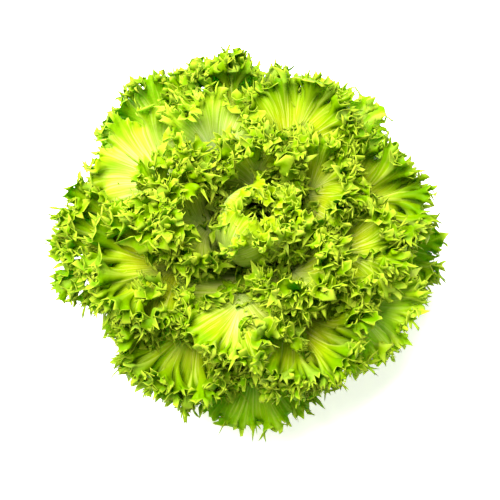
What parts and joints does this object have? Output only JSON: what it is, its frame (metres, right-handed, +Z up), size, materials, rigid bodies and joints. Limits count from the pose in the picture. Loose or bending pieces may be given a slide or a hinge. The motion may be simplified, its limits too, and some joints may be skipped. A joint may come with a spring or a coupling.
{
  "type": "frilly lettuce head",
  "caption": "Loose-leaf lettuce head standing on its cut stem: a spiral rosette of fan-shaped green leaves with pale ribs and ruffled, toothed margins.",
  "frame": {"origin": "centre of the stem's flat cut face, on the surface that the head stands on", "axes": "+Z up along the stem, out of the heart of the rosette; +X and +Y span the surface, with +Y away from a viewer who looks at the front"},
  "size_m": [0.3027, 0.2933, 0.1338],
  "materials": {
    "stem": "moist pale stem flesh, satin",
    "outer_leaf": "waxy mid-green leaf with fine pale veins, satin, slightly translucent",
    "middle_leaf": "waxy yellow-green leaf with fine pale veins, satin, slightly translucent",
    "inner_leaf": "waxy bright yellow-green leaf with fine pale veins, satin, slightly translucent",
    "heart_leaf": "waxy pale yellow leaf with fine veins, satin, slightly translucent"
  },
  "bodies": {
    "root": {"stem": "stem", "outer_leaf_01": "outer_leaf", "outer_leaf_02": "outer_leaf", "outer_leaf_03": "outer_leaf", "outer_leaf_04": "outer_leaf", "outer_leaf_05": "outer_leaf", "outer_leaf_06": "outer_leaf", "outer_leaf_07": "outer_leaf", "outer_leaf_08": "outer_leaf", "outer_leaf_09": "outer_leaf", "outer_leaf_10": "outer_leaf", "outer_leaf_11": "outer_leaf", "outer_leaf_12": "outer_leaf", "outer_leaf_13": "outer_leaf", "middle_leaf_01": "middle_leaf", "middle_leaf_02": "middle_leaf", "middle_leaf_03": "middle_leaf", "middle_leaf_04": "middle_leaf", "middle_leaf_05": "middle_leaf", "middle_leaf_06": "middle_leaf", "middle_leaf_07": "middle_leaf", "middle_leaf_08": "middle_leaf", "middle_leaf_09": "middle_leaf", "middle_leaf_10": "middle_leaf", "middle_leaf_11": "middle_leaf", "inner_leaf_01": "inner_leaf", "inner_leaf_02": "inner_leaf", "inner_leaf_03": "inner_leaf", "inner_leaf_04": "inner_leaf", "inner_leaf_05": "inner_leaf", "inner_leaf_06": "inner_leaf", "inner_leaf_07": "inner_leaf", "inner_leaf_08": "inner_leaf", "heart_leaf_01": "heart_leaf", "heart_leaf_02": "heart_leaf", "heart_leaf_03": "heart_leaf", "heart_leaf_04": "heart_leaf"}
  },
  "joints": []
}
